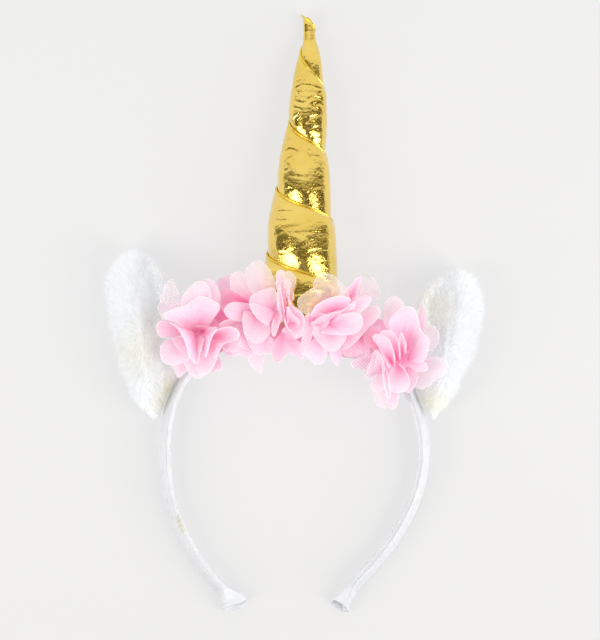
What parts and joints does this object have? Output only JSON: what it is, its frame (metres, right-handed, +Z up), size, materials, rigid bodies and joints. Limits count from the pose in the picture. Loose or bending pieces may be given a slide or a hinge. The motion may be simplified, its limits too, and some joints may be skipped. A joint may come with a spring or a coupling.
{
  "type": "unicorn horn headband",
  "caption": "Satin-covered head hoop with a stuffed spiral gold horn, a row of ruffled chiffon blossoms and a pair of fluffy ears.",
  "frame": {"origin": "middle of the part's footprint on the surface it lies on", "axes": "+Z up from the surface the part lies on, towards the front of the flowers; +Y from the open ends of the band towards the tip of the horn; +X to the right seen from the front"},
  "size_m": [0.1986, 0.3114, 0.043],
  "materials": {
    "satin_white": "white satin ribbon glued over the band, soft sheen, lengthwise folds",
    "gold_lame": "gold lame cloth, metallic, finely crinkled",
    "gold_cord": "twisted metallic gold cord",
    "chiffon_pink": "thin pale pink chiffon, deeper pink where it lies double",
    "fur_white": "white long-pile plush",
    "fur_cream": "cream short-pile plush"
  },
  "bodies": {
    "root": {"band": "satin_white", "ribbon_end_left": "satin_white", "ribbon_end_right": "satin_white", "horn": "gold_lame", "horn_cord": "gold_cord", "chiffon_strip": "chiffon_pink", "flower_1_outer": "chiffon_pink", "flower_1_middle": "chiffon_pink", "flower_1_inner": "chiffon_pink", "flower_2_outer": "chiffon_pink", "flower_2_middle": "chiffon_pink", "flower_2_inner": "chiffon_pink", "flower_3_outer": "chiffon_pink", "flower_3_middle": "chiffon_pink", "flower_3_inner": "chiffon_pink", "flower_4_outer": "chiffon_pink", "flower_4_middle": "chiffon_pink", "flower_4_inner": "chiffon_pink", "ear_left_fur": "fur_white", "ear_left_inner": "fur_cream", "ear_right_fur": "fur_white", "ear_right_inner": "fur_cream"}
  },
  "joints": []
}
